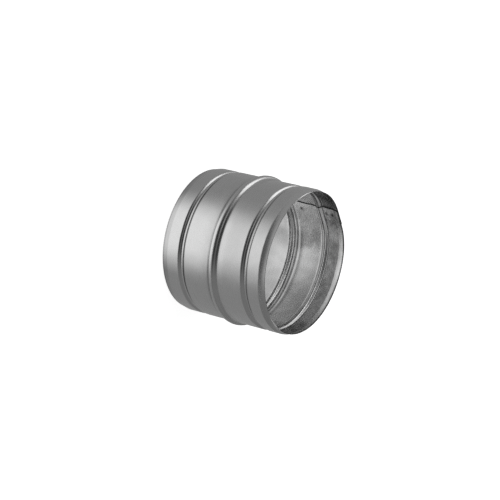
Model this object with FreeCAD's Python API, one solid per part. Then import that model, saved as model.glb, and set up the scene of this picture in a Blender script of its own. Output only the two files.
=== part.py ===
"""Duct connector: a short spigot that joins two lengths of round ventilation duct.

One strip of galvanised sheet is rolled into a ring and lapped along one straight seam.
A bead stands out round the middle, where both ducts stop. A groove is rolled in on each
side of it to stiffen the spigot, and both ends are drawn in slightly, so that a duct
slides over them. The lap is held by a row of spot welds. Rolling leaves the two ends of
the strip flat, so the ring is flatter along the seam, and the whole lap stays inside the
round size: a duct still passes over it.

The tube stands on one end: +Z is its axis, z = 0 is the lower rim, and the origin is on
the axis. All sizes are in millimetres.
"""
import FreeCAD, Part

import math
import os

from FreeCAD import Vector

# Size of the tube
spigot_diameter = 99.0        # outside of the wall: a 100 mm duct slips over it
tube_length = 82.0
sheet = 0.5                   # sheet thickness, measured along the radius

# Bead round the middle, which stops both ducts
bead_width = 9.0
bead_height = 2.0

# Groove on each side of the bead
groove_offset = 25.3          # from the middle of the tube to the middle of a groove
groove_width = 6.6
groove_depth = 1.6

# Ends drawn in
lip_length = 4.7              # from the rim to where the wall starts to bend in
lip_draw = 1.0                # how much smaller the radius is at the rim
lip_crease = 2.0              # radius of that bend
lip_lean = 20.0               # slope that the bend reaches, in degrees

# Lap seam
seam_angle = 139.75           # direction of the middle of the lap, from +X towards +Y
lap_width = 11.7              # how far the two ends of the strip overlap
lap_gap = 0.1                 # play between the two layers, bridged by the welds
flat_margin = 0.65            # how far the flat runs on past the lap, each way
flat_depth = 2.0              # how far the flat lies inside the round size

# Spot welds in the lap
weld_off_middle = 10.0        # first weld, from the middle of the tube, the same both ways
weld_off_groove = 1.5         # second weld, from the edge of the groove towards the rim
weld_off_lip = 1.5            # third weld, from the bend of the lip towards the groove
weld_shift = 0.75             # from the middle of the lap, along the strip
weld_diameter = 2.0
dimple_diameter = 2.8         # mark that the electrode leaves on each face
dimple_depth = 0.12

# Values that follow from those above
radius = spigot_diameter / 2
middle = tube_length / 2
flat_half = lap_width / 2 + flat_margin
layer_step = sheet + lap_gap  # from a face of the outer layer to the same face of the inner one
normal = Vector(math.cos(math.radians(seam_angle)), math.sin(math.radians(seam_angle)), 0)
along = Vector(-normal.y, normal.x, 0)
up = Vector(0, 0, 1)


def ridge(z, width, rise):
    """Points of a rolled ridge centred on z: three tangent arcs, outward for a positive rise.

    Each arc is given by its middle and its end, as (step out, z). The flanks lean by
    twice the angle whose tangent is the rise over half the width.
    """
    lean = 2 * math.atan(abs(rise) / (width / 2))
    bend = width / 4 / math.sin(lean)
    sign = math.copysign(1, rise)

    def foot(angle, side):
        return (sign * bend * (1 - math.cos(angle)), z + side * (width / 2 - bend * math.sin(angle)))

    def crown(angle, side):
        return (rise - sign * bend * (1 - math.cos(angle)), z + side * bend * math.sin(angle))

    return [
        (foot(lean / 2, -1), foot(lean, -1)),
        ((rise, z), crown(lean, 1)),
        (foot(lean / 2, 1), foot(0, 1)),
    ]


def wall_path():
    """Shape of the wall from the lower to the upper rim.

    A list of points: a point alone ends a straight run, and a pair is an arc's middle
    and end. Each point is (step out, z), and the step out is 0 on the plain wall.
    """
    # The lip is a tight bend inwards, and a long arc that turns slowly back up to the rim.
    # The long arc is fixed by its slope at the bend and by its two ends: its chord turns half
    # as far as the arc does.
    lean = math.radians(lip_lean)
    run = lip_length - lip_crease * math.sin(lean)
    fall = lip_draw - lip_crease * (1 - math.cos(lean))
    chord_lean = math.atan2(fall, run)
    back = math.hypot(run, fall) / 2 / math.sin(lean - chord_lean)

    def lip(side):
        rim = 0 if side < 0 else tube_length
        start = rim - side * lip_length

        def tight(angle):
            return (-lip_crease * (1 - math.cos(angle)), start + side * lip_crease * math.sin(angle))

        def slow(angle):
            step, z = tight(lean)
            step -= back * (math.cos(angle) - math.cos(lean))
            return (step, z + side * back * (math.sin(lean) - math.sin(angle)))

        return (-lip_draw, rim), slow(chord_lean), tight(lean), tight(lean / 2), (0, start)

    rim, slow_mid, joint, tight_mid, on_wall = lip(-1)
    path = [rim, (slow_mid, joint), (tight_mid, on_wall)]
    for z, width, rise in (
        (middle - groove_offset, groove_width, -groove_depth),
        (middle, bead_width, bead_height),
        (middle + groove_offset, groove_width, -groove_depth),
    ):
        path.append((0, z - width / 2))
        path += ridge(z, width, rise)
    rim, slow_mid, joint, tight_mid, on_wall = lip(1)
    path += [on_wall, (tight_mid, joint), (slow_mid, rim)]
    return path


def wall_section(path, place, outward):
    """Face across the wall. place is where the plain outer face stands, outward its direction."""
    def spot(point, inset):
        return place + outward * (point[0] - inset) + up * point[1]

    def side(inset):
        edges = []
        last = spot(path[0], inset)
        for step in path[1:]:
            if isinstance(step[0], tuple):
                end = spot(step[1], inset)
                edges.append(Part.Arc(last, spot(step[0], inset), end).toShape())
            else:
                end = spot(step, inset)
                edges.append(Part.LineSegment(last, end).toShape())
            last = end
        return edges

    outer = side(0)
    inner = side(sheet)
    rims = (path[0], path[-1][1])  # the path ends with an arc
    ends = [Part.LineSegment(spot(p, 0), spot(p, sheet)).toShape() for p in rims]
    return Part.Face(Part.Wire(Part.__sortEdges__(outer + inner + ends)))


def shoulder(depth):
    """Arc that leads from the round wall into a flat lying depth inside the round size.

    It touches the flat at its end and the round wall where the two run the same way.
    Returns its radius and the angle that it turns through.
    """
    bend = radius - depth / 2 - flat_half ** 2 / (2 * depth)
    turn = math.atan2(flat_half, radius - depth - bend)
    return bend, turn


def rolled_strip():
    """The strip's five stretches: outer flat, shoulder, round wall, shoulder, inner flat."""
    path = wall_path()
    inner_depth = flat_depth + layer_step
    bend_out, turn_out = shoulder(flat_depth)
    bend_in, turn_in = shoulder(inner_depth)

    def section(depth, offset):
        return wall_section(path, normal * (radius - depth) + along * offset, normal)

    def swing(face, centre, turn):
        return face.revolve(centre, up, math.degrees(turn))

    # Outer layer: its free edge, the flat, and the shoulder up to the round wall
    flat_out = section(flat_depth, -lap_width / 2).extrude(along * (lap_width / 2 + flat_half))
    centre_out = normal * (radius - flat_depth - bend_out) + along * flat_half
    shoulder_out = swing(section(flat_depth, flat_half), centre_out, turn_out)

    # Round wall, from one shoulder to the other
    def round_face(angle):
        turned = Vector(
            normal.x * math.cos(angle) - normal.y * math.sin(angle),
            normal.x * math.sin(angle) + normal.y * math.cos(angle),
            0,
        )
        return wall_section(path, turned * radius, turned)

    round_wall = swing(round_face(turn_out), Vector(0, 0, 0), 2 * math.pi - turn_out - turn_in)

    # Inner layer: the shoulder off the round wall, then the flat under the outer one
    centre_in = normal * (radius - inner_depth - bend_in) - along * flat_half
    shoulder_in = swing(section(inner_depth, -flat_half), centre_in, -turn_in)
    flat_in = section(inner_depth, -flat_half).extrude(along * (lap_width / 2 + flat_half))
    return [flat_out, shoulder_out, round_wall, shoulder_in, flat_in]


def weld_places():
    """Height of each spot weld, from the lower rim: three in each half of the tube."""
    steps = [
        weld_off_middle,
        groove_offset + groove_width / 2 + weld_off_groove,
        middle - lip_length - weld_off_lip,
    ]
    return sorted([middle - step for step in steps] + [middle + step for step in steps])


def nugget(z):
    """Metal of one weld, across the play between the layers and a little way into both."""
    bite = 0.35 * sheet
    reach = lap_gap + 2 * bite
    start = normal * (radius - flat_depth - layer_step - bite) + along * weld_shift + up * z
    return Part.makeCylinder(weld_diameter / 2, reach, start, normal)


def dimple(z, face_depth, outward):
    """Shallow round mark of the electrode on one face, cut with part of a large ball.

    The ball alone would reach the groove beside the weld, so it is trimmed to the mark.
    """
    ball = ((dimple_diameter / 2) ** 2 + dimple_depth ** 2) / (2 * dimple_depth)
    spot = normal * (radius - face_depth) + along * weld_shift + up * z
    away = normal * outward
    sphere = Part.makeSphere(ball, spot + away * (ball - dimple_depth))
    trim = Part.makeCylinder(dimple_diameter / 2, 3 * dimple_depth, spot - away * 2 * dimple_depth, away)
    return sphere.common(trim)


def connector():
    """The whole connector: the rolled strip, its welds, and the marks that they leave."""
    stretches = rolled_strip()
    body = stretches[0].fuse(stretches[1:] + [nugget(z) for z in weld_places()])
    marks = []
    for z in weld_places():
        marks.append(dimple(z, flat_depth, 1))
        marks.append(dimple(z, flat_depth + layer_step + sheet, -1))
    body = body.cut(marks)
    return body.removeSplitter()


shell = connector()
solid = shell.Solids[0] if len(shell.Solids) == 1 else shell
print("solids", len(shell.Solids), "valid", solid.isValid(), "volume", round(solid.Volume, 1))
print("box", solid.BoundBox)

os.makedirs("parts", exist_ok=True)
solid.exportStep("parts/connector_shell.step")
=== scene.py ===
# %% [markdown]
# Duct connector, step 1: the fixed frame
#
# The object is a short metal tube that joins two lengths of round ventilation duct. Its solid
# model is already made, with its size and its place, so the scene starts from it and adds only
# what the eye needs. The tube stands on one end, with its axis along +Z, and the measures
# below are in metres.

# %% Load the frame
import bpy
import math
import numpy as np
from mathutils import Matrix, Vector


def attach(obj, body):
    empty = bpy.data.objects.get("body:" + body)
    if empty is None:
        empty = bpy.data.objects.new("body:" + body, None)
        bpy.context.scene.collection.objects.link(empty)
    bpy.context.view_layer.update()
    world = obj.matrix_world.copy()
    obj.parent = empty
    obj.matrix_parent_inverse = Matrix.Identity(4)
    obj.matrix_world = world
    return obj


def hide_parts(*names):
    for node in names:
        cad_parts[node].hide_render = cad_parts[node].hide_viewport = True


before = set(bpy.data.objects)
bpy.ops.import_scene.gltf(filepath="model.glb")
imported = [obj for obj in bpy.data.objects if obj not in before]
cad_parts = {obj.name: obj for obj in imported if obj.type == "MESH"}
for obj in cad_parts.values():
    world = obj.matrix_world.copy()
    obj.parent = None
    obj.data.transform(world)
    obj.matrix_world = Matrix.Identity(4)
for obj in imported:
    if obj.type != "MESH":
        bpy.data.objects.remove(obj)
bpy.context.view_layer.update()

# %% [markdown]
# Step 2: the sizes of the rolled sheet
#
# A rolled part is described by few numbers: how large the ring is, where its bead and grooves
# run, and how far the ends of the strip overlap. They are the solid's sizes, so that the
# finished surface lies on it.

# %% Sizes in metres
MM = 0.001
RADIUS = 49.5 * MM
LENGTH = 82.0 * MM
SHEET = 0.5 * MM
BEAD_WIDTH, BEAD_HEIGHT = 9.0 * MM, 2.0 * MM
GROOVE_OFFSET, GROOVE_WIDTH, GROOVE_DEPTH = 25.3 * MM, 6.6 * MM, 1.6 * MM
LIP_LENGTH, LIP_DRAW, LIP_CREASE = 4.7 * MM, 1.0 * MM, 2.0 * MM
LIP_LEAN = math.radians(20.0)
SEAM_ANGLE = math.radians(139.75)
LAP_WIDTH, LAP_GAP, FLAT_MARGIN, FLAT_DEPTH = 11.7 * MM, 0.1 * MM, 0.65 * MM, 2.0 * MM
FLAT_HALF = LAP_WIDTH / 2 + FLAT_MARGIN
MIDDLE = LENGTH / 2
# Spot welds: steps from the middle of the tube, the same both ways, and shift along the strip
WELD_STEPS = np.array([10.0, 30.1, 34.8]) * MM
WELD_HEIGHTS = np.concatenate([MIDDLE - WELD_STEPS, MIDDLE + WELD_STEPS])
WELD_SHIFT = 0.75 * MM

# %% [markdown]
# Step 3: the path of the strip round the ring
#
# Seen from above, the strip is a line of five stretches that touch each other smoothly: a
# short flat, an arc that leads into the round wall, the round wall, an arc that leaves it, and
# a second flat under the first. A circle alone would be simpler, but then the lap would either
# stand out of the round or cut through itself. The path is a function of one number, the
# distance along the strip, worked out for a whole array at once.

# %% Path round the ring
def shoulder(depth):
    """Radius and turn of the arc from the round wall into a flat that lies depth inside it.

    The arc touches both, so its centre is as far from the axis as the two radii differ.
    """
    bend = RADIUS - depth / 2 - FLAT_HALF ** 2 / (2 * depth)
    return bend, math.atan2(FLAT_HALF, RADIUS - depth - bend)


INNER_DEPTH = FLAT_DEPTH + SHEET + LAP_GAP
BEND_OUT, TURN_OUT = shoulder(FLAT_DEPTH)
BEND_IN, TURN_IN = shoulder(INNER_DEPTH)
FLAT_LENGTH = LAP_WIDTH / 2 + FLAT_HALF
ROUND_TURN = 2 * math.pi - TURN_OUT - TURN_IN
STRETCHES = [FLAT_LENGTH, BEND_OUT * TURN_OUT, RADIUS * ROUND_TURN, BEND_IN * TURN_IN, FLAT_LENGTH]
MARKS = np.concatenate([[0.0], np.cumsum(STRETCHES)])
STRIP_LENGTH = MARKS[-1]


def ring_path(s):
    """Place and outward direction of the plain outer face, s metres along the strip.

    Local axes: x points at the middle of the seam, y along it in the rolling direction. On a
    flat, y grows with s. On an arc, the direction turns by s over the radius about its centre.
    """
    t = s[None, :] - MARKS[:5, None]
    x, y, a = np.zeros((5, s.size)), np.zeros((5, s.size)), np.zeros((5, s.size))
    x[0], y[0] = RADIUS - FLAT_DEPTH, t[0] - LAP_WIDTH / 2
    x[4], y[4] = RADIUS - INNER_DEPTH, t[4] - FLAT_HALF
    a[1] = t[1] / BEND_OUT
    x[1] = RADIUS - FLAT_DEPTH - BEND_OUT + BEND_OUT * np.cos(a[1])
    y[1] = FLAT_HALF + BEND_OUT * np.sin(a[1])
    a[2] = TURN_OUT + t[2] / RADIUS
    x[2], y[2] = RADIUS * np.cos(a[2]), RADIUS * np.sin(a[2])
    a[3] = -TURN_IN + t[3] / BEND_IN
    x[3] = RADIUS - INNER_DEPTH - BEND_IN + BEND_IN * np.cos(a[3])
    y[3] = -FLAT_HALF + BEND_IN * np.sin(a[3])
    k = np.clip(np.searchsorted(MARKS, s, side="right") - 1, 0, 4)
    n = np.arange(s.size)
    x, y, a = x[k, n], y[k, n], a[k, n] + SEAM_ANGLE
    c, d = math.cos(SEAM_ANGLE), math.sin(SEAM_ANGLE)
    return x * c - y * d, x * d + y * c, np.cos(a), np.sin(a)


print("strip length", round(STRIP_LENGTH / MM, 2), "mm")

# %% [markdown]
# Step 4: the section of the wall
#
# The bead and the grooves are rolled: the sheet bends out and back in three arcs that touch,
# with no sharp corner. A sine wave would look close, but its crown is too pointed. The two
# rims are drawn in by a tight bend, and from there they turn slowly back.

# %% Section
def ridge(z, centre, width, rise):
    """Step out of a rolled ridge: foot arc, crown arc, foot arc, all of one radius.

    Near the foot the step is r minus the root of r squared less the distance in squared, and
    near the crown it is the same from the top.
    """
    lean = 2 * math.atan(abs(rise) / (width / 2))
    r = width / 4 / math.sin(lean)
    d = np.abs(z - centre)
    foot = r - np.sqrt(np.clip(r ** 2 - np.clip(width / 2 - d, 0, None) ** 2, 0, None))
    crown = abs(rise) - (r - np.sqrt(np.clip(r ** 2 - d ** 2, 0, None)))
    return math.copysign(1, rise) * np.where(d > width / 4, foot, crown)


def lip(z):
    """Step in near a rim: a tight bend to the slope LIP_LEAN, then a long arc that turns back.

    The long arc is fixed by its first slope and its two ends. Its chord leans by c, and an arc
    that starts at the slope a has the radius chord over 2 sin (a - c).
    """
    d = np.clip(LIP_LENGTH - np.minimum(z, LENGTH - z), 0, None)
    bend, drop = LIP_CREASE * math.sin(LIP_LEAN), LIP_CREASE * (1 - math.cos(LIP_LEAN))
    run, fall = LIP_LENGTH - bend, LIP_DRAW - drop
    r = math.hypot(run, fall) / 2 / math.sin(LIP_LEAN - math.atan2(fall, run))
    tight = LIP_CREASE - np.sqrt(np.clip(LIP_CREASE ** 2 - d ** 2, 0, None))
    slope = np.arcsin(math.sin(LIP_LEAN) - np.clip(d - bend, 0, None) / r)
    return -np.where(d < bend, tight, drop + r * (np.cos(slope) - math.cos(LIP_LEAN)))


def step_out(z):
    """Distance of the outer face from the plain wall, at height z."""
    return (
        lip(z)
        + ridge(z, MIDDLE, BEAD_WIDTH, BEAD_HEIGHT)
        + ridge(z, MIDDLE - GROOVE_OFFSET, GROOVE_WIDTH, -GROOVE_DEPTH)
        + ridge(z, MIDDLE + GROOVE_OFFSET, GROOVE_WIDTH, -GROOVE_DEPTH)
    )


def rows():
    """Heights of the grid's rows: close together on the rolled forms, wider on the plain wall.

    The density of rows is 1 over the gap, and its running sum, cut evenly, gives the rows.
    """
    z = np.linspace(0, LENGTH, 4001)
    margin = 0.3 * MM
    gap = np.full(z.size, 1.5 * MM)
    gap[np.abs(z - MIDDLE) < BEAD_WIDTH / 2 + margin] = 0.38 * MM
    gap[np.abs(np.abs(z - MIDDLE) - GROOVE_OFFSET) < GROOVE_WIDTH / 2 + margin] = 0.34 * MM
    gap[np.minimum(z, LENGTH - z) < LIP_LENGTH + margin] = 0.3 * MM
    for h in MIDDLE + WELD_STEPS:
        gap[(np.abs(z - h) < 2.2 * MM) & (gap > 0.5 * MM)] = 0.5 * MM
    count = np.concatenate([[0], np.cumsum((z[1] - z[0]) / gap[1:])])
    return np.interp(np.linspace(0, count[-1], int(round(count[-1])) + 1), count, z)


HEIGHTS = rows()
print("rows", HEIGHTS.size, "bead crest", round(float(step_out(np.array([MIDDLE]))[0]) / MM, 3), "mm")

# %% [markdown]
# Step 5: the small unevenness of thin sheet
#
# Half a millimetre of steel is never true. Rolling the bead draws the wall beside it in a
# little, each spot weld leaves a dent, the sheared edge of the lap wanders, and the plain wall
# has long shallow waves that show only because metal mirrors them. A displacement texture could
# do this, but the grid's own points can carry it exactly: they are shifted along the wall's
# direction by a tenth of a millimetre or so. Both faces get the same shift, so that the sheet
# stays even.

# %% Soft steps, soft hills and the hand-cut edge
def smooth(x, low, high):
    """0 below low, 1 above high, and 3 u squared less 2 u cubed between. low may be the larger."""
    u = np.clip((x - low) / (high - low), 0, 1)
    return u * u * (3 - 2 * u)


def wander(z):
    """How far the edge of the lap inside the tube strays from a straight line: three sine waves."""
    h = z / LENGTH
    return (0.22 * np.sin(23 * h + 0.5) + 0.16 * np.sin(51 * h + 2.0) + 0.10 * np.sin(97 * h)) * MM


def bump(u, v, u0, v0, ru, rv):
    """A soft round hill of height 1: e to the minus squared distance, each way in its own radius."""
    return np.exp(-((u - u0) / ru) ** 2 - ((v - v0) / rv) ** 2)


# %% Dents, waves and welds
WELD_DENT, WELD_DENT_RADIUS = 0.10, 1.5 * MM        # the depth is in millimetres
# Height, and rise in millimetres, of each larger dent or swelling beside the lap
SEAM_DENTS = [(MIDDLE + 15.5 * MM, 0.12), (MIDDLE + 33.5 * MM, -0.10), (MIDDLE - 17 * MM, 0.1)]


def unevenness(s, z):
    """Shift of the wall, outwards, at s along the strip and height z.

    Waves are products of sines round the ring and up the wall. Dents are soft hills. Their sum
    is in millimetres, and fades to the dents alone at the rims.
    """
    around = 2 * math.pi * s / STRIP_LENGTH
    wave = 0.035 * np.sin(3 * around + 0.6 + 26 * z) + 0.035 * np.sin(7 * around + 2.1 - 44 * z)
    wave += 0.045 * np.sin(13 * around + 0.4 + 70 * z) * np.sin(60 * z + 1.0)
    wave += 0.02 * np.sin(29 * around + 2 * np.sin(90 * z)) * np.sin(150 * z + 0.5)
    dents = np.zeros_like(wave)
    # Distance from the middle of the lap, on the outer layer and on the inner one
    outer = s - LAP_WIDTH / 2 - WELD_SHIFT
    inner = s - (STRIP_LENGTH - LAP_WIDTH / 2) - WELD_SHIFT
    for h in WELD_HEIGHTS:
        for across in (outer, inner):
            dents -= WELD_DENT * bump(across, z, 0, h, WELD_DENT_RADIUS, WELD_DENT_RADIUS)
    for h, rise in SEAM_DENTS:
        dents += rise * bump(inner, z, -5.5 * MM, h, 4 * MM, 5 * MM)
    # Rolling the bead drew the wall beside it in a little
    beside = np.abs(z - MIDDLE)
    dents -= 0.12 * np.exp(-((beside - 4.7 * MM) / (1.7 * MM)) ** 2)
    dents -= 0.10 * np.exp(-((beside - 5.0 * MM) / (4.0 * MM)) ** 2)
    # The heat and pressure of the welds left the lap and the wall beside it lumpy
    lumpy = np.exp(-((s - STRIP_LENGTH + 12 * MM) / (11 * MM)) ** 2)
    lumps = np.sin(620 * s + 3 * np.sin(210 * z)) * np.sin(540 * z + 1.3 + 2 * np.sin(300 * s))
    dents += 0.03 * lumpy * lumps
    calm = np.clip(np.minimum(z, LENGTH - z) / (3 * MM), 0, 1)
    return (wave * calm + dents) * MM


# %% [markdown]
# Step 6: the surface
#
# The strip is a grid: one direction runs along the path, the other up the section. The outer
# face is that grid, the inner face is the same grid moved in by the sheet's thickness, and
# four narrow strips close the cut edges. Giving a single surface a Solidify modifier would be
# shorter, but it moves along the normal, and then the bead of the inner layer would cut into
# the bead of the outer one where they nest.

# %% Build the sheet
def columns():
    """Places of the grid's columns, from 0 to 1 along the strip, closest in the lap and its edges.

    They are cut from a running sum, as the rows are.
    """
    s = np.linspace(0, STRIP_LENGTH, 8001)
    gap = np.full(s.size, 1.3 * MM)
    gap[np.minimum(s, STRIP_LENGTH - s) < 22 * MM] = 0.7 * MM
    gap[np.abs(s - STRIP_LENGTH + LAP_WIDTH / 2 - WELD_SHIFT) < 2.4 * MM] = 0.4 * MM
    gap[np.abs(s - LAP_WIDTH) < 1.8 * MM] = 0.15 * MM
    count = np.concatenate([[0], np.cumsum((s[1] - s[0]) / gap[1:])])
    return np.interp(np.linspace(0, count[-1], int(round(count[-1])) + 1), count, s) / STRIP_LENGTH


def sheet_grid(t):
    """Points of both faces, shape (2, columns, rows, 3), and the distance along the strip.

    The last 3 percent of the strip are stretched or shortened, so that its end follows wander.
    """
    z = HEIGHTS[None, :]
    end = STRIP_LENGTH + wander(HEIGHTS)
    far = np.clip((t - 0.97) / 0.03, 0, 1)[:, None]
    s = t[:, None] * STRIP_LENGTH + far * (end - STRIP_LENGTH)[None, :]
    x, y, nx, ny = (v.reshape(s.shape) for v in ring_path(s.ravel()))
    shift = step_out(z) + unevenness(s, z)
    faces = []
    for inset in (0.0, SHEET):
        out = shift - inset
        faces.append(np.stack([x + nx * out, y + ny * out, np.broadcast_to(z, s.shape)], -1))
    return np.stack(faces), s


points, along = sheet_grid(columns())
COLUMNS, ROWS = along.shape
index = np.arange(2 * COLUMNS * ROWS).reshape(2, COLUMNS, ROWS)


def quads(a, b, c, d):
    """One quad per cell from four arrays of corner numbers."""
    return np.stack([a.ravel(), b.ravel(), c.ravel(), d.ravel()], -1)


out, inn = index
faces = np.concatenate([
    quads(out[:-1, :-1], out[1:, :-1], out[1:, 1:], out[:-1, 1:]),
    quads(inn[:-1, :-1], inn[:-1, 1:], inn[1:, 1:], inn[1:, :-1]),
    quads(out[:-1, -1], out[1:, -1], inn[1:, -1], inn[:-1, -1]),
    quads(out[:-1, 0], inn[:-1, 0], inn[1:, 0], out[1:, 0]),
    quads(out[0, :-1], out[0, 1:], inn[0, 1:], inn[0, :-1]),
    quads(out[-1, :-1], inn[-1, :-1], inn[-1, 1:], out[-1, 1:]),
])
mesh = bpy.data.meshes.new("rolled_sheet")
mesh.from_pydata(points.reshape(-1, 3), [], faces)
mesh.polygons.foreach_set("use_smooth", np.ones(len(faces), dtype=bool))
# The cut edges turn by 90 degrees and stay sharp, and the rolled forms stay smooth
mesh.set_sharp_from_angle(angle=math.radians(50))

# %% UV map in metres: u along the strip, v up the tube
corners = np.empty(len(mesh.loops), dtype=np.int32)
mesh.loops.foreach_get("vertex_index", corners)
flat_s = np.broadcast_to(along, index.shape).ravel()
flat_z = np.broadcast_to(HEIGHTS, index.shape).ravel()
uv = mesh.uv_layers.new(name="along_strip")
uv.data.foreach_set("uv", np.stack([flat_s[corners], flat_z[corners]], -1).ravel())

# %% [markdown]
# Step 7: where the zinc is dull, and where shade is painted
#
# New zinc is bright. The welds burn it dull, and its tone varies in soft clouds. The rest is
# painted shade in the colour: a painted shadow line along the cut edge of the lap, painted shade
# on the wall past it, inside the near rim and on the lip, narrow painted dark lines along the
# ridges inside, and painted shade on the flanks of the bead and the grooves and at the rims
# outside. A darker band lies beside the seam. A painted image could hold these places. Here they
# are two functions of the place on the strip, one for each face, and their value is kept at every
# point of the mesh, for the material to read.

# %% Dullness and painted shade of the inner face, from 0 to 1
# Height over the middle, darkness and width of each painted dark line inside, along the bead and the near
# groove
PAINTED_SHADE_LINES = [(24.8, 0.36, 0.8), (27.6, 0.32, 0.6), (5.9, 0.38, 0.9), (2.5, 0.38, 0.6),
                (-0.2, 0.45, 0.6), (-2.8, 0.3, 0.5)]
# Radius of the burnt spot at each weld, in the order of WELD_HEIGHTS. The lower three are clean.
WELD_BURNS = (0, 0, 0, 1.2, 1.2, 1.5)
DARKEST_MARK = 0.95


def tarnish_and_painted_shade(s, z):
    """Dullness and painted shade of the inner face: a sum of soft bumps and bands, each at the place it
    names.
    """
    beyond = s - LAP_WIDTH - wander(z)
    near_rim = smooth(z, LENGTH - 13 * MM, LENGTH - 11.5 * MM)
    # Painted shadow: a dark line just past the cut edge of the lap, darker near the rim
    edge = 0.95 * np.exp(-((beyond - 0.1 * MM) / (0.65 * MM)) ** 2) * (beyond > -1.5 * MM)
    edge *= 0.75 + 0.25 * near_rim
    # Painted shade on the wall past the lap's edge: deep near the rim, faint between the bead and there
    past = smooth(beyond, -1 * MM, 0.5 * MM) * smooth(beyond, 24 * MM, 9 * MM)
    wedge_shade = past * (0.72 * near_rim + 0.22 * (1 - near_rim) * smooth(z, MIDDLE, MIDDLE + 8 * MM))
    spots = np.zeros_like(s)
    inner = s - (STRIP_LENGTH - LAP_WIDTH / 2) - WELD_SHIFT
    for h, size in zip(WELD_HEIGHTS, WELD_BURNS):
        if size:
            spots += 0.9 * bump(inner, z, 0, h, size * MM, 0.9 * size * MM)
            spots += 0.10 * bump(inner, z, -1.5 * MM, h, 3.0 * MM, 2.4 * MM)
    # Painted shade on the band inside below the near rim, but for one clean patch, on the lip beside
    # the seam, and in the top millimetre inside the rim. turned is the angle from the lap, in radians.
    turned = (STRIP_LENGTH - LAP_WIDTH / 2 - s) / RADIUS
    strip = near_rim * smooth(z, LENGTH - 3.9 * MM, LENGTH - 4.9 * MM)
    strip = 0.32 * strip * smooth(turned, 0.36, 0.52) * smooth(turned, 3.4, 2.8)
    strip *= 1 - 0.95 * np.exp(-((turned - 1.65) / 0.16) ** 2)
    strip *= 1 + 0.45 * np.sin(950 * s + 2 * np.sin(410 * z)) * np.sin(800 * z + 2 * np.sin(370 * s))
    beside = 0.4 * smooth(turned, 0.62, 0.5) + 0.45 * smooth(turned, 0.2, 0.05)
    beside = np.maximum(beside, smooth(s, 70 * MM, 45 * MM))
    cut = 0.75 * smooth(z, LENGTH - 1.0 * MM, LENGTH - 0.5 * MM)
    cut *= np.maximum(smooth(turned, 2.9, 2.5), smooth(s, 50 * MM, 40 * MM))
    lip_shade = 0.6 * beside * smooth(z, LENGTH - 5.0 * MM, LENGTH - 4.2 * MM)
    clouds = np.sin(420 * s + 2 * np.sin(160 * z)) * np.sin(300 * z + 1.7 * np.sin(230 * s))
    clouds = 0.08 + 0.10 * clouds * (0.7 + 0.3 * smooth(turned, 1.2, 1.9))
    # A darker band beside the seam, between the bead and the near groove
    shore = turned + 0.05 * np.sin(330 * z + 0.8) + 0.03 * np.sin(900 * z)
    darker_band = smooth(shore, 0.32, 0.44) * smooth(shore, 0.64, 0.56)
    darker_band *= smooth(z, MIDDLE + 3 * MM, MIDDLE + 7 * MM) * smooth(z, MIDDLE + 22 * MM, MIDDLE + 19 * MM)
    clouds += 0.24 * darker_band
    # Painted shade: narrow dark lines along the bead and the near groove
    rolled = np.zeros_like(z)
    for h, dullness_and_shade, width in PAINTED_SHADE_LINES:
        rolled += dullness_and_shade * np.exp(-((z - MIDDLE - h * MM) / (width * MM)) ** 2)
    rolled *= smooth(turned, 0.3, 0.5)
    return np.clip(edge + wedge_shade + spots + cut + strip + lip_shade + clouds + rolled, 0, DARKEST_MARK)


# %% Painted shade of the outer face
def painted_shade_outside(z):
    """Painted shade on the outer face: bands on the far groove, the bead's far foot, the near groove and
    the rims.
    """
    up = (z - MIDDLE) / MM
    far = smooth(up, -25.3, -24.7) * smooth(up, -22.3, -23.2)
    foot = smooth(up, -5.2, -3.8) * smooth(up, -1.8, -2.8)
    near = smooth(up, 25.2, 25.9) * smooth(up, 28.6, 27.2)
    # Painted shade at the far rim and where it meets the floor, and on the top edge of the near rim
    rim = 0.2 * smooth(z, 4.9 * MM, 3.9 * MM) + 0.3 * smooth(z, 1.4 * MM, 0.4 * MM)
    end = 0.25 * (z > LENGTH - 0.05 * MM)
    return 0.8 * far + 0.36 * foot + 0.3 * near + rim + end


# %% Keep the dullness and painted shade on the mesh, and tie the sheet to the solid
dullness_and_shade = np.zeros(index.shape)
dullness_and_shade[0] = painted_shade_outside(HEIGHTS)
dullness_and_shade[1] = tarnish_and_painted_shade(along, np.broadcast_to(HEIGHTS, along.shape))
dull_and_shade = mesh.attributes.new("tarnish_and_painted_shade", "FLOAT", "POINT")
dull_and_shade.data.foreach_set("value", dullness_and_shade.ravel())

sheet = bpy.data.objects.new("rolled_sheet", mesh)
bpy.context.scene.collection.objects.link(sheet)
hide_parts("connector_shell")
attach(sheet, "root")
print("triangles", 2 * len(faces))

# %% [markdown]
# Step 8: galvanised steel
#
# The sheet is steel with a skin of zinc. The zinc is a soft grey metal, neither dark nor
# mirror bright, and the rolls leave a very fine grain that runs round the tube. Light that
# falls on such a grain spreads across it, up and down the wall, and hardly along it, so a lamp
# makes a long stripe with clean sides. One small function adds a node, and another turns a
# hex colour, as a paint chart gives it, into the linear numbers that the shader wants.

# %% Helpers for materials
def linear(hex_colour):
    """sRGB hex to linear: below 0.04045 divide by 12.92, above it the 2.4 power curve."""
    c = np.array([int(hex_colour[i:i + 2], 16) for i in (1, 3, 5)]) / 255
    c = np.where(c <= 0.04045, c / 12.92, ((c + 0.055) / 1.055) ** 2.4)
    return (*c.tolist(), 1.0)


def node(tree, kind, inputs=None, **settings):
    """Adds a node, sets its options and its inputs. An input that is a socket is linked."""
    new = tree.nodes.new(kind)
    for name, value in settings.items():
        setattr(new, name, value)
    for name, value in (inputs or {}).items():
        if isinstance(value, bpy.types.NodeSocket):
            tree.links.new(value, new.inputs[name])
        else:
            new.inputs[name].default_value = value
    return new


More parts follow.
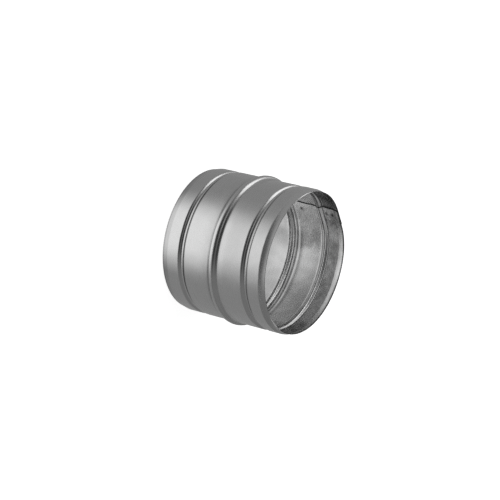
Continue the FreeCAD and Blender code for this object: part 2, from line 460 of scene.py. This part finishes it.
def new_material(name):
    """An empty node material and its node tree."""
    material = bpy.data.materials.new(name)
    material.use_nodes = True
    material.node_tree.nodes.clear()
    return material, material.node_tree


# %% Galvanised steel
ROUGHNESS, ROUGHNESS_SPREAD = 0.26, 0.03
ANISOTROPY = 0.6
# The third colour is that of dull zinc, and also of the painted shade
ZINC_DARK, ZINC_LIGHT, DULL_ZINC_AND_SHADE = "#b9b9b9", "#c2c2c2", "#272727"

steel, tree = new_material("galvanised_steel_rolled")
uv_place = node(tree, "ShaderNodeUVMap", uv_map="along_strip").outputs["UV"]
# Rolling grain: about 25 mm long and 0.5 mm wide. The real one is finer than a pixel.
grain_place = node(tree, "ShaderNodeMapping", {"Vector": uv_place, "Scale": (40, 2000, 1)}).outputs[0]
grain = node(tree, "ShaderNodeTexNoise", {"Vector": grain_place, "Scale": 1.0, "Detail": 3.0})
# Zinc skin: soft patches of about 5 mm, each a little lighter or darker
patch_place = node(tree, "ShaderNodeMapping", {"Vector": uv_place, "Scale": (200, 200, 1)}).outputs[0]
patches = node(tree, "ShaderNodeTexNoise", {"Vector": patch_place, "Scale": 1.0, "Detail": 4.0})
tone = node(tree, "ShaderNodeMix", {
    "Factor": patches.outputs["Fac"], "A": linear(ZINC_DARK), "B": linear(ZINC_LIGHT),
}, data_type="RGBA")
# Where the attribute marks dull zinc and painted shade, the colour turns darker and grainier. Its grain
# is about half a millimetre.
speck_place = node(tree, "ShaderNodeMapping", {"Vector": uv_place, "Scale": (1600, 1600, 1)}).outputs[0]
specks = node(tree, "ShaderNodeTexNoise", {"Vector": speck_place, "Scale": 1.0, "Detail": 2.0})
speck_tone = node(tree, "ShaderNodeMapRange", {
    "Value": specks.outputs["Fac"], "From Min": 0.3, "From Max": 0.7, "To Min": 0.65, "To Max": 1.35,
})
# Dull zinc and painted shade, as kept on the mesh
stain_and_shade = node(tree, "ShaderNodeAttribute", attribute_name="tarnish_and_painted_shade").outputs["Fac"]
stain_and_shade = node(tree, "ShaderNodeMath", {0: stain_and_shade, 1: speck_tone.outputs[0]}, operation="MULTIPLY")
tone = node(tree, "ShaderNodeMix", {
    "Factor": stain_and_shade.outputs[0], "A": tone.outputs["Result"], "B": linear(DULL_ZINC_AND_SHADE),
}, data_type="RGBA")
rough = node(tree, "ShaderNodeMapRange", {
    "Value": grain.outputs["Fac"], "From Min": 0.3, "From Max": 0.7,
    "To Min": ROUGHNESS - ROUGHNESS_SPREAD, "To Max": ROUGHNESS + ROUGHNESS_SPREAD,
})
relief = node(tree, "ShaderNodeBump", {
    "Height": grain.outputs["Fac"], "Strength": 0.1, "Distance": 0.00005,
})
tangent = node(tree, "ShaderNodeTangent", direction_type="UV_MAP", uv_map="along_strip")
zinc = node(tree, "ShaderNodeBsdfPrincipled", {
    "Base Color": tone.outputs["Result"], "Metallic": 1.0, "Roughness": rough.outputs[0],
    "Anisotropic": ANISOTROPY, "Anisotropic Rotation": 0.0, "Normal": relief.outputs[0],
    "Tangent": tangent.outputs[0],
})
node(tree, "ShaderNodeOutputMaterial", {"Surface": zinc.outputs[0]})
mesh.materials.append(steel)

# %% [markdown]
# Step 9: the floor, a lamp and sheets of light
#
# A studio shows metal by what it mirrors. The floor is plain and white. Seen from a little
# above, the wall of an upright tube mirrors only the floor, so the long bright stripe comes
# from a soft sheet of light that lies there, bright ahead of the tube and grey to its sides.
# Smaller sheets light the inside, a ring above the open end draws the thin lines on the ridges
# inside, and one large lamp to the side draws those on the bead and the grooves. Area lamps
# alone could do it, but each lamp is even all over, and a mesh that glows can fade out softly.

# %% Floor
FLOOR_HALF = 4.0
FLOOR_GLOW = 0.85        # light that the camera and mirrored rays see on top of the paint
corner_signs = ((-1, -1), (1, -1), (1, 1), (-1, 1))
floor_mesh = bpy.data.meshes.new("floor")
floor_mesh.from_pydata([(FLOOR_HALF * a, FLOOR_HALF * b, 0) for a, b in corner_signs], [], [(0, 1, 2, 3)])
floor = bpy.data.objects.new("floor", floor_mesh)
bpy.context.scene.collection.objects.link(floor)

white, tree = new_material("floor_white")
seen = node(tree, "ShaderNodeLightPath")
looked_at = seen.outputs["Is Camera Ray"]
for ray in ("Is Glossy Ray", "Is Transmission Ray"):
    looked_at = node(tree, "ShaderNodeMath", {0: looked_at, 1: seen.outputs[ray]}, operation="ADD")
    looked_at = looked_at.outputs[0]
lift = node(tree, "ShaderNodeMath", {0: looked_at, 1: FLOOR_GLOW}, operation="MULTIPLY")
paint = node(tree, "ShaderNodeBsdfDiffuse", {"Color": linear("#e6e6e6")})
glow = node(tree, "ShaderNodeEmission", {"Color": (1, 1, 1, 1), "Strength": lift.outputs[0]})
both = node(tree, "ShaderNodeAddShader", {0: paint.outputs[0], 1: glow.outputs[0]})
node(tree, "ShaderNodeOutputMaterial", {"Surface": both.outputs[0]})
floor_mesh.materials.append(white)

# %% Lamp to the side
def soft_box(name, azimuth, elevation, distance, width, height, radiance):
    """A rectangular lamp that faces the middle of the tube.

    azimuth turns from -Y (0) towards -X (90), and elevation rises from the floor. A lamp of
    one watt and one square metre sends out a radiance of 1 over pi.
    """
    a, e = math.radians(azimuth), math.radians(elevation)
    away = Vector((-math.sin(a) * math.cos(e), -math.cos(a) * math.cos(e), math.sin(e)))
    lamp = bpy.data.lights.new(name, "AREA")
    lamp.shape = "RECTANGLE"
    lamp.size, lamp.size_y = width, height
    lamp.energy = radiance * math.pi * width * height
    place = bpy.data.objects.new(name, lamp)
    place.matrix_world = (
        Matrix.Translation(Vector((0, 0, MIDDLE)) + away * distance)
        @ away.to_track_quat("Z", "Y").to_matrix().to_4x4()
    )
    place.visible_camera = False
    bpy.context.scene.collection.objects.link(place)


soft_box("side_bank", 123, 27, 0.6, 0.82, 0.34, 1.6)


# %% Meshes that glow
def light_mesh(name, points, radiance):
    """A thin glowing surface, given by a grid of points, that only mirrored rays see."""
    n = np.arange(radiance.size).reshape(radiance.shape)
    cells = quads(n[:-1, :-1], n[1:, :-1], n[1:, 1:], n[:-1, 1:])
    shape = bpy.data.meshes.new(name)
    shape.from_pydata(points.reshape(-1, 3), [], cells)
    level = shape.attributes.new("radiance", "FLOAT", "POINT")
    level.data.foreach_set("value", radiance.ravel())
    glow, tree = new_material(name)
    strength = node(tree, "ShaderNodeAttribute", attribute_name="radiance").outputs["Fac"]
    light = node(tree, "ShaderNodeEmission", {"Color": (1, 1, 1, 1), "Strength": strength})
    node(tree, "ShaderNodeOutputMaterial", {"Surface": light.outputs[0]})
    shape.materials.append(glow)
    placed = bpy.data.objects.new(name, shape)
    placed.visible_camera = placed.visible_diffuse = placed.visible_shadow = False
    bpy.context.scene.collection.objects.link(placed)


def light_sheet(name, first, last, start, near, far, level, lift, inside=False):
    """A thin sheet of light on the floor, whose sides run along the mirrored rays.

    A ray from the camera that meets the wall at azimuth p leaves it at azimuth 2 p, so the
    sheet's points are start times the direction of p, plus t times the direction of 2 p.
    level gives the radiance from p in degrees, t, x and y. Inside the tube, t is measured
    along the chord, so it is scaled by the cosine of p.
    """
    degrees, t = np.meshgrid(np.linspace(first, last, 91), np.geomspace(near, far, 40), indexing="ij")
    p = np.radians(degrees)
    if inside:
        t = t * np.abs(np.cos(p))
    x = -(start * np.sin(p) + t * np.sin(2 * p))
    y = -(start * np.cos(p) + t * np.cos(2 * p))
    light_mesh(name, np.stack([x, y, np.full_like(x, lift)], -1), level(degrees, t, x, y))


def light_ring(name, radius, low, high, radiance):
    """An upright ring of light, from low to high: brighter on the left, dimmer at the right rear."""
    a, z = np.meshgrid(np.linspace(0, 2 * math.pi, 73), np.linspace(low, high, 2), indexing="ij")
    points = np.stack([radius * np.cos(a), radius * np.sin(a), z], -1)
    right_back = 0.82 * np.cos(a) + 0.57 * np.sin(a)
    change = 0.6 * smooth(-np.cos(a), 0.5, 0.95) - 0.6 * smooth(right_back, 0.6, 0.95)
    light_mesh(name, points, radiance * (1 + change))


# %% How bright each sheet of light is
def near_floor(p, t, x, y):
    """Bright ahead, grey to the sides. The bright part narrows and dims a little further out."""
    steps = np.array([0, 58, 70, 98, 110, 200]) * MM
    peak = np.interp(t, steps, [0.98, 0.98, 0.72, 0.72, 0.92, 0.92])
    middle = np.interp(t, steps, [1.5, 1.5, 3.0, 3.0, 0.5, 0.5])
    full = np.interp(t, steps, [10, 10, 9, 9, 4, 4])
    none = np.interp(t, steps, [36, 36, 33, 33, 33, 33])
    return 0.38 + peak * (1 - smooth(np.abs(p - middle), full, none))


def far_floor(p, t, x, y):
    """Grey, lighter to the left, and lighter still straight ahead where it is near."""
    ahead = smooth(-y / t, 0.5, 0.9)
    return 0.26 + 0.16 * smooth(-x / t, 0.3, 0.9) + ahead * np.interp(t, [0.2, 0.7], [0.3, -0.1])


def floor_inside(p, t, x, y):
    """The disc under the tube: bright to the right, lighter to the left, and dimmer in front."""
    side = 0.6 * smooth(x, 12 * MM, 32 * MM)
    side += 0.9 * smooth(x, 18 * MM, 30 * MM) * smooth(y, 28 * MM, 20 * MM)
    side += 1.4 * smooth(x, 22 * MM, 30 * MM) * smooth(-y, 2 * MM, 9 * MM)
    side += 0.15 * smooth(-x, 20 * MM, 35 * MM)
    side += 0.35 * smooth(-x, 17 * MM, 25 * MM) * smooth(y, 0, 10 * MM)
    return 0.66 + side - 0.2 * smooth(-y, 8 * MM, 18 * MM) * smooth(np.abs(x), 24 * MM, 14 * MM)


def band_inside(p, t, x, y):
    """The band across the inside, which the lower wall and the upper wall see differently."""
    lower = np.interp(p, [148, 153, 160, 170, 180, 190, 200, 203],
                      [0.5, 0.45, 0.6, 1.15, 1.32, 1.1, 0.68, 0.6])
    upper = np.interp(p, [148, 152, 156, 160, 163, 167, 180, 190, 196, 200, 203],
                      [0.8, 0.6, 0.2, 0.16, 0.5, 1.34, 1.5, 1.2, 0.5, 0.34, 0.34])
    extra = smooth(t, 82 * MM, 76 * MM) * smooth(t, 58 * MM, 64 * MM)
    extra *= 0.7 * smooth(p, 149, 152) * smooth(p, 166, 162)
    strong = smooth(t, 69 * MM, 74 * MM) * smooth(t, 81 * MM, 78 * MM)
    extra += 0.9 * strong * smooth(np.abs(p - 156), 4, 2)
    extra += 0.35 * smooth(t, 48 * MM, 54 * MM) * smooth(t, 66 * MM, 60 * MM) * smooth(p, 183, 190)
    return extra + 1.06 * (lower + (upper - lower) * smooth(t, 60 * MM, 72 * MM))


# %% Put the sheets and the ring in place
# Heights over the floor: of the two wide sheets, and of the two that lie on them
LOW, HIGH = 0.03 * MM, 0.06 * MM
light_sheet("sheet_near", -100, 100, 48.5 * MM, 0.05 * MM, 170 * MM, near_floor, HIGH)
light_sheet("sheet_far", 0, 180, 0, 140 * MM, 3900 * MM, far_floor, LOW)
light_sheet("sheet_inside", 0, 180, 0, 0.1 * MM, 48.3 * MM, floor_inside, LOW)
light_sheet("sheet_inside_band", 148, 203, 47.5 * MM, 28 * MM, 94.5 * MM, band_inside, HIGH, inside=True)
light_ring("ring_above", 46 * MM, 86 * MM, 110 * MM, 1.5)

# %% [markdown]
# Step 10: the light from all around
#
# What no sheet covers mirrors the world. A picture of a real studio would be simpler, but here
# each direction has its task, so the brightness is worked out from the direction. It is dark in
# front, around the camera, so that the flanks of the bead and the grooves get their dark lines.
# Elsewhere it is grey. High above it is bright towards -X, and so it is low down behind the
# tube on that side, where the wall turns away from the camera.

# %% World
FRONT = (-0.139, -0.99, 0)
GREY = 0.28

world = bpy.data.worlds.new("studio")
bpy.context.scene.world = world
world.use_nodes = True
tree = world.node_tree
tree.nodes.clear()
around = node(tree, "ShaderNodeTexCoord").outputs["Generated"]
height = node(tree, "ShaderNodeSeparateXYZ", {0: around}).outputs["Z"]
flat = node(tree, "ShaderNodeVectorMath", {0: around, 1: (1, 1, 0)}, operation="MULTIPLY")
flat = node(tree, "ShaderNodeVectorMath", {0: flat.outputs[0]}, operation="NORMALIZE")
ahead = node(tree, "ShaderNodeVectorMath", {0: flat.outputs[0], 1: FRONT},
             operation="DOT_PRODUCT")
front = node(tree, "ShaderNodeMapRange", {
    "Value": ahead.outputs["Value"], "From Min": 0.5, "From Max": 0.85, "To Min": 0.0, "To Max": 1.0,
}, interpolation_type="SMOOTHSTEP")
dark = node(tree, "ShaderNodeMapRange", {
    "Value": height, "From Min": 0.05, "From Max": 0.3, "To Min": 0.16, "To Max": 0.04,
})
above = node(tree, "ShaderNodeMapRange", {
    "Value": height, "From Min": 0.7, "From Max": 0.86, "To Min": 0.0, "To Max": 1.0,
})
west = node(tree, "ShaderNodeVectorMath", {0: flat.outputs[0], 1: (-1, 0, 0)}, operation="DOT_PRODUCT")
left = node(tree, "ShaderNodeMapRange", {
    "Value": west.outputs["Value"], "From Min": -0.3, "From Max": 0.0, "To Min": 0.0, "To Max": 1.0,
})
west = node(tree, "ShaderNodeMapRange", {
    "Value": west.outputs["Value"], "From Min": 0.2, "From Max": 0.75, "To Min": 0.2, "To Max": 1.3,
})
above = node(tree, "ShaderNodeMath", {0: above.outputs[0], 1: west.outputs[0]}, operation="MULTIPLY")
dark = node(tree, "ShaderNodeMath", {0: dark.outputs[0], 1: above.outputs[0]}, operation="ADD")
behind = node(tree, "ShaderNodeMapRange", {
    "Value": ahead.outputs["Value"], "From Min": -0.4, "From Max": -0.8, "To Min": 0.0, "To Max": 1.0,
})
behind = node(tree, "ShaderNodeMath", {0: behind.outputs[0], 1: left.outputs[0]}, operation="MULTIPLY")
low = node(tree, "ShaderNodeMapRange", {
    "Value": height, "From Min": 0.16, "From Max": 0.3, "To Min": 1.2, "To Max": 0.08,
})
rest = node(tree, "ShaderNodeMix", {0: behind.outputs[0], 2: GREY, 3: low.outputs[0]})
sky = node(tree, "ShaderNodeMix", {0: front.outputs[0], 2: rest.outputs[0], 3: dark.outputs[0]})
air = node(tree, "ShaderNodeBackground", {"Color": (1, 1, 1, 1), "Strength": sky.outputs[0]})
node(tree, "ShaderNodeOutputWorld", {"Surface": air.outputs[0]})

# %% [markdown]
# Step 11: the camera
#
# The photographer stood in front of the tube, above its rim, and the tube lay on its side. The
# frame has it standing, so the camera is turned to its side instead. Its three directions were
# worked out from the outline in the picture, and the lens is long, so the far rim looks nearly
# as large as the near one.

# %% Camera
PICTURE_WIDTH = 500.0
SENSOR_WIDTH = 36.0
LENS_PIXELS = 1926.1     # focal length in pixels of the picture
DISTANCE = 26.21 * RADIUS
AIM_RIGHT, AIM_UP = 0.002489, -0.000361        # aim beside the tube's middle, in DISTANCE
RIGHT = Vector((-0.2372, 0.5193, 0.8210))
VIEW = Vector((0.0, 0.8452, -0.5345)).normalized()
UP = RIGHT.cross(VIEW).normalized()
RIGHT = VIEW.cross(UP).normalized()

camera_data = bpy.data.cameras.new("camera")
camera_data.sensor_fit = "HORIZONTAL"
camera_data.sensor_width = SENSOR_WIDTH
camera_data.lens = LENS_PIXELS * SENSOR_WIDTH / PICTURE_WIDTH
camera = bpy.data.objects.new("camera", camera_data)
turn = Matrix((RIGHT, UP, -VIEW)).transposed()
eye = Vector((0, 0, MIDDLE)) - DISTANCE * (AIM_RIGHT * RIGHT + AIM_UP * UP + VIEW)
camera.matrix_world = Matrix.Translation(eye) @ turn.to_4x4()
bpy.context.scene.collection.objects.link(camera)
bpy.context.scene.camera = camera
bpy.context.scene.view_settings.view_transform = "Standard"
